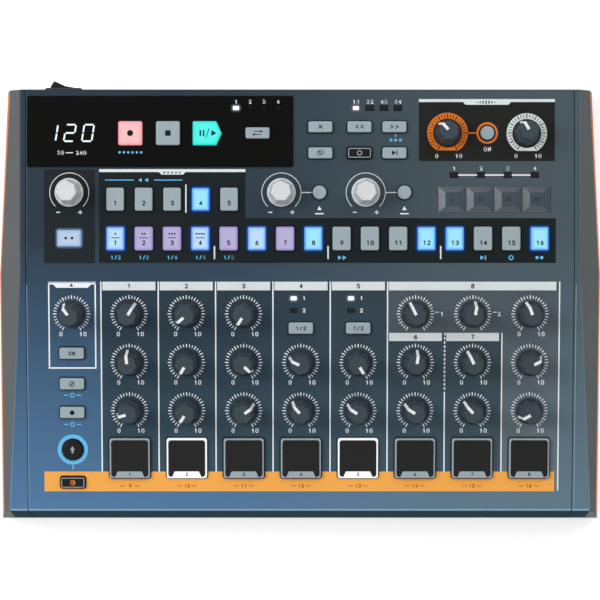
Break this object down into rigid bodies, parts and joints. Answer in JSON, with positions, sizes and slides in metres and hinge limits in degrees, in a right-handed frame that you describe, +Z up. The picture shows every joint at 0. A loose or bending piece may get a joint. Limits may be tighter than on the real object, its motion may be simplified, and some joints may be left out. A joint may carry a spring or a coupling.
{
  "type": "drum machine",
  "caption": "Tabletop analogue drum machine: sloped control panel with turning knobs, lit keys, drum pads, display window, touch strip, rear jacks and power rocker",
  "frame": {"origin": "on the table, under the middle of the whole object", "axes": "X to the player's right, Y away from the player to the rear sockets, Z up"},
  "size_m": [0.316, 0.228, 0.06],
  "materials": {
    "panel_paint": "satin",
    "base_plastic": "matt",
    "rear_paint": "satin",
    "cheek_plastic": "matt",
    "trim_plastic": "satin",
    "window_plastic": "gloss",
    "board": "satin",
    "pot_metal": "satin",
    "switch_plastic": "satin",
    "socket_plastic": "satin",
    "fastener_steel": "bright",
    "foot_rubber": "matt",
    "lamp_plastic": "gloss",
    "touch_plastic": "satin",
    "knob_plastic": "satin",
    "key_plastic": "satin",
    "dark_key_plastic": "satin",
    "pad_rubber": "matt",
    "rocker_plastic": "satin"
  },
  "bodies": {
    "case": {"top_panel": "panel_paint", "base_shell": "base_plastic", "rear_panel": "rear_paint", "side_cheeks": "cheek_plastic", "side_trims": "trim_plastic", "display_window": "window_plastic", "circuit_boards": "board", "potentiometers": "pot_metal", "key_switches": "switch_plastic", "audio_jacks": "socket_plastic", "power_and_data_sockets": "socket_plastic", "rubber_feet": "foot_rubber", "case_fasteners": "fastener_steel", "indicator_lights": "lamp_plastic", "touch_strip": "touch_plastic"},
    "metronome_volume_knob": {"metronome_volume_knob": "knob_plastic"},
    "kick_decay_knob": {"kick_decay_knob": "knob_plastic"},
    "kick_pitch_knob": {"kick_pitch_knob": "knob_plastic"},
    "kick_level_knob": {"kick_level_knob": "knob_plastic"},
    "snare_1_decay_knob": {"snare_1_decay_knob": "knob_plastic"},
    "snare_1_tone_knob": {"snare_1_tone_knob": "knob_plastic"},
    "snare_1_level_knob": {"snare_1_level_knob": "knob_plastic"},
    "snare_2_decay_knob": {"snare_2_decay_knob": "knob_plastic"},
    "snare_2_tone_knob": {"snare_2_tone_knob": "knob_plastic"},
    "snare_2_level_knob": {"snare_2_level_knob": "knob_plastic"},
    "tom_pitch_knob": {"tom_pitch_knob": "knob_plastic"},
    "tom_level_knob": {"tom_level_knob": "knob_plastic"},
    "cymbal_decay_knob": {"cymbal_decay_knob": "knob_plastic"},
    "cymbal_level_knob": {"cymbal_level_knob": "knob_plastic"},
    "fm_mod_pitch_knob": {"fm_mod_pitch_knob": "knob_plastic"},
    "closed_hat_tone_knob": {"closed_hat_tone_knob": "knob_plastic"},
    "closed_hat_level_knob": {"closed_hat_level_knob": "knob_plastic"},
    "fm_amount_knob": {"fm_amount_knob": "knob_plastic"},
    "open_hat_decay_knob": {"open_hat_decay_knob": "knob_plastic"},
    "open_hat_level_knob": {"open_hat_level_knob": "knob_plastic"},
    "fm_decay_knob": {"fm_decay_knob": "knob_plastic"},
    "fm_carrier_pitch_knob": {"fm_carrier_pitch_knob": "knob_plastic"},
    "fm_level_knob": {"fm_level_knob": "knob_plastic"},
    "distortion_knob": {"distortion_knob": "knob_plastic"},
    "master_volume_knob": {"master_volume_knob": "knob_plastic"},
    "tempo_knob": {"tempo_knob": "knob_plastic"},
    "swing_knob": {"swing_knob": "knob_plastic"},
    "randomness_knob": {"randomness_knob": "knob_plastic"},
    "kick_pad": {"kick_pad": "pad_rubber"},
    "snare_1_pad": {"snare_1_pad": "pad_rubber"},
    "snare_2_pad": {"snare_2_pad": "pad_rubber"},
    "tom_pad": {"tom_pad": "pad_rubber"},
    "cymbal_pad": {"cymbal_pad": "pad_rubber"},
    "closed_hat_pad": {"closed_hat_pad": "pad_rubber"},
    "open_hat_pad": {"open_hat_pad": "pad_rubber"},
    "fm_drum_pad": {"fm_drum_pad": "pad_rubber"},
    "record_button": {"record_button": "key_plastic"},
    "stop_button": {"stop_button": "key_plastic"},
    "play_button": {"play_button": "key_plastic"},
    "step_keys": {"step_keys": "key_plastic"},
    "mode_keys": {"mode_keys": "key_plastic"},
    "function_keys": {"function_keys": "dark_key_plastic"},
    "channel_keys": {"channel_keys": "dark_key_plastic"},
    "shift_key": {"shift_key": "dark_key_plastic"},
    "power_rocker": {"power_rocker": "rocker_plastic"}
  },
  "joints": [
    {"name": "metronome_volume_turn", "type": "hinge", "parent": "case", "child": "metronome_volume_knob", "pos_m": [-0.1166, -0.00642, 0.04321], "axis": [0, -0.0872, 0.9962], "range_deg": [-186, 114]},
    {"name": "kick_decay_turn", "type": "hinge", "parent": "case", "child": "kick_decay_knob", "pos_m": [-0.0873, -0.00642, 0.04321], "axis": [0, -0.0872, 0.9962], "range_deg": [-118, 182]},
    {"name": "kick_pitch_turn", "type": "hinge", "parent": "case", "child": "kick_pitch_knob", "pos_m": [-0.0873, -0.03123, 0.04104], "axis": [0, -0.0872, 0.9962], "range_deg": [-157, 143]},
    {"name": "kick_level_turn", "type": "hinge", "parent": "case", "child": "kick_level_knob", "pos_m": [-0.0873, -0.05603, 0.03887], "axis": [0, -0.0872, 0.9962], "range_deg": [-255, 45]},
    {"name": "snare_1_decay_turn", "type": "hinge", "parent": "case", "child": "snare_1_decay_knob", "pos_m": [-0.05805, -0.00642, 0.04321], "axis": [0, -0.0872, 0.9962], "range_deg": [-280, 20]},
    {"name": "snare_1_tone_turn", "type": "hinge", "parent": "case", "child": "snare_1_tone_knob", "pos_m": [-0.05805, -0.03123, 0.04104], "axis": [0, -0.0872, 0.9962], "range_deg": [-300, 0]},
    {"name": "snare_1_level_turn", "type": "hinge", "parent": "case", "child": "snare_1_level_knob", "pos_m": [-0.05805, -0.05603, 0.03887], "axis": [0, -0.0872, 0.9962], "range_deg": [-296, 4]},
    {"name": "snare_2_decay_turn", "type": "hinge", "parent": "case", "child": "snare_2_decay_knob", "pos_m": [-0.0288, -0.00642, 0.04321], "axis": [0, -0.0872, 0.9962], "range_deg": [-298, 2]},
    {"name": "snare_2_tone_turn", "type": "hinge", "parent": "case", "child": "snare_2_tone_knob", "pos_m": [-0.0288, -0.03123, 0.04104], "axis": [0, -0.0872, 0.9962], "range_deg": [-17, 283]},
    {"name": "snare_2_level_turn", "type": "hinge", "parent": "case", "child": "snare_2_level_knob", "pos_m": [-0.0288, -0.05603, 0.03887], "axis": [0, -0.0872, 0.9962], "range_deg": [-95, 205]},
    {"name": "tom_pitch_turn", "type": "hinge", "parent": "case", "child": "tom_pitch_knob", "pos_m": [0.00045, -0.03123, 0.04104], "axis": [0, -0.0872, 0.9962], "range_deg": [-216, 84]},
    {"name": "tom_level_turn", "type": "hinge", "parent": "case", "child": "tom_level_knob", "pos_m": [0.00045, -0.05603, 0.03887], "axis": [0, -0.0872, 0.9962], "range_deg": [-192, 108]},
    {"name": "cymbal_decay_turn", "type": "hinge", "parent": "case", "child": "cymbal_decay_knob", "pos_m": [0.0297, -0.03123, 0.04104], "axis": [0, -0.0872, 0.9962], "range_deg": [-1, 299]},
    {"name": "cymbal_level_turn", "type": "hinge", "parent": "case", "child": "cymbal_level_knob", "pos_m": [0.0297, -0.05603, 0.03887], "axis": [0, -0.0872, 0.9962], "range_deg": [-208, 92]},
    {"name": "fm_mod_pitch_turn", "type": "hinge", "parent": "case", "child": "fm_mod_pitch_knob", "pos_m": [0.05895, -0.00642, 0.04321], "axis": [0, -0.0872, 0.9962], "range_deg": [-176, 124]},
    {"name": "closed_hat_tone_turn", "type": "hinge", "parent": "case", "child": "closed_hat_tone_knob", "pos_m": [0.05895, -0.03123, 0.04104], "axis": [0, -0.0872, 0.9962], "range_deg": [-142, 158]},
    {"name": "closed_hat_level_turn", "type": "hinge", "parent": "case", "child": "closed_hat_level_knob", "pos_m": [0.05895, -0.05603, 0.03887], "axis": [0, -0.0872, 0.9962], "range_deg": [-207, 93]},
    {"name": "fm_amount_turn", "type": "hinge", "parent": "case", "child": "fm_amount_knob", "pos_m": [0.0882, -0.00642, 0.04321], "axis": [0, -0.0872, 0.9962], "range_deg": [-140, 160]},
    {"name": "open_hat_decay_turn", "type": "hinge", "parent": "case", "child": "open_hat_decay_knob", "pos_m": [0.0882, -0.03123, 0.04104], "axis": [0, -0.0872, 0.9962], "range_deg": [-175, 125]},
    {"name": "open_hat_level_turn", "type": "hinge", "parent": "case", "child": "open_hat_level_knob", "pos_m": [0.0882, -0.05603, 0.03887], "axis": [0, -0.0872, 0.9962], "range_deg": [-192, 108]},
    {"name": "fm_decay_turn", "type": "hinge", "parent": "case", "child": "fm_decay_knob", "pos_m": [0.11745, -0.00642, 0.04321], "axis": [0, -0.0872, 0.9962], "range_deg": [-170, 130]},
    {"name": "fm_carrier_pitch_turn", "type": "hinge", "parent": "case", "child": "fm_carrier_pitch_knob", "pos_m": [0.11745, -0.03123, 0.04104], "axis": [0, -0.0872, 0.9962], "range_deg": [-88, 212]},
    {"name": "fm_level_turn", "type": "hinge", "parent": "case", "child": "fm_level_knob", "pos_m": [0.11745, -0.05603, 0.03887], "axis": [0, -0.0872, 0.9962], "range_deg": [-268, 32]},
    {"name": "distortion_turn", "type": "hinge", "parent": "case", "child": "distortion_knob", "pos_m": [0.0752, 0.0858, 0.045], "axis": [0, 0, 1], "range_deg": [-192, 108]},
    {"name": "master_volume_turn", "type": "hinge", "parent": "case", "child": "master_volume_knob", "pos_m": [0.1156, 0.0858, 0.045], "axis": [0, 0, 1], "range_deg": [-180, 120]},
    {"name": "tempo_turn", "type": "hinge", "parent": "case", "child": "tempo_knob", "pos_m": [-0.1176, 0.0555, 0.045], "axis": [0, 0, 1], "continuous": true},
    {"name": "swing_turn", "type": "hinge", "parent": "case", "child": "swing_knob", "pos_m": [-0.0095, 0.0555, 0.045], "axis": [0, 0, 1], "continuous": true},
    {"name": "randomness_turn", "type": "hinge", "parent": "case", "child": "randomness_knob", "pos_m": [0.0335, 0.0555, 0.045], "axis": [0, 0, 1], "continuous": true},
    {"name": "kick_pad_press", "type": "slide", "parent": "case", "child": "kick_pad", "axis": [0, 0.0872, -0.9962], "range_m": [0, 0.001], "stiffness_N_per_m": 2500, "springref_m": -0.0008},
    {"name": "snare_1_pad_press", "type": "slide", "parent": "case", "child": "snare_1_pad", "axis": [0, 0.0872, -0.9962], "range_m": [0, 0.001], "stiffness_N_per_m": 2500, "springref_m": -0.0008},
    {"name": "snare_2_pad_press", "type": "slide", "parent": "case", "child": "snare_2_pad", "axis": [0, 0.0872, -0.9962], "range_m": [0, 0.001], "stiffness_N_per_m": 2500, "springref_m": -0.0008},
    {"name": "tom_pad_press", "type": "slide", "parent": "case", "child": "tom_pad", "axis": [0, 0.0872, -0.9962], "range_m": [0, 0.001], "stiffness_N_per_m": 2500, "springref_m": -0.0008},
    {"name": "cymbal_pad_press", "type": "slide", "parent": "case", "child": "cymbal_pad", "axis": [0, 0.0872, -0.9962], "range_m": [0, 0.001], "stiffness_N_per_m": 2500, "springref_m": -0.0008},
    {"name": "closed_hat_pad_press", "type": "slide", "parent": "case", "child": "closed_hat_pad", "axis": [0, 0.0872, -0.9962], "range_m": [0, 0.001], "stiffness_N_per_m": 2500, "springref_m": -0.0008},
    {"name": "open_hat_pad_press", "type": "slide", "parent": "case", "child": "open_hat_pad", "axis": [0, 0.0872, -0.9962], "range_m": [0, 0.001], "stiffness_N_per_m": 2500, "springref_m": -0.0008},
    {"name": "fm_drum_pad_press", "type": "slide", "parent": "case", "child": "fm_drum_pad", "axis": [0, 0.0872, -0.9962], "range_m": [0, 0.001], "stiffness_N_per_m": 2500, "springref_m": -0.0008},
    {"name": "record_button_press", "type": "slide", "parent": "case", "child": "record_button", "axis": [0, 0, -1], "range_m": [0, 0.001], "stiffness_N_per_m": 1500, "springref_m": -0.0008},
    {"name": "stop_button_press", "type": "slide", "parent": "case", "child": "stop_button", "axis": [0, 0, -1], "range_m": [0, 0.001], "stiffness_N_per_m": 1500, "springref_m": -0.0008},
    {"name": "play_button_press", "type": "slide", "parent": "case", "child": "play_button", "axis": [0, 0, -1], "range_m": [0, 0.001], "stiffness_N_per_m": 1500, "springref_m": -0.0008},
    {"name": "step_keys_press", "type": "slide", "parent": "case", "child": "step_keys", "axis": [0, 0, -1], "range_m": [0, 0.001], "stiffness_N_per_m": 1500, "springref_m": -0.0008},
    {"name": "mode_keys_press", "type": "slide", "parent": "case", "child": "mode_keys", "axis": [0, 0, -1], "range_m": [0, 0.001], "stiffness_N_per_m": 1500, "springref_m": -0.0008},
    {"name": "function_keys_press", "type": "slide", "parent": "case", "child": "function_keys", "axis": [0, 0, -1], "range_m": [0, 0.001], "stiffness_N_per_m": 1500, "springref_m": -0.0008},
    {"name": "channel_keys_press", "type": "slide", "parent": "case", "child": "channel_keys", "axis": [0, 0.0872, -0.9962], "range_m": [0, 0.001], "stiffness_N_per_m": 1500, "springref_m": -0.0008},
    {"name": "shift_key_press", "type": "slide", "parent": "case", "child": "shift_key", "axis": [0, 0.0872, -0.9962], "range_m": [0, 0.001], "stiffness_N_per_m": 1500, "springref_m": -0.0008},
    {"name": "power_rocker_tip", "type": "hinge", "parent": "case", "child": "power_rocker", "pos_m": [-0.1223, 0.1086, 0.023], "axis": [0, 0, 1], "range_deg": [0, 34.6]}
  ]
}
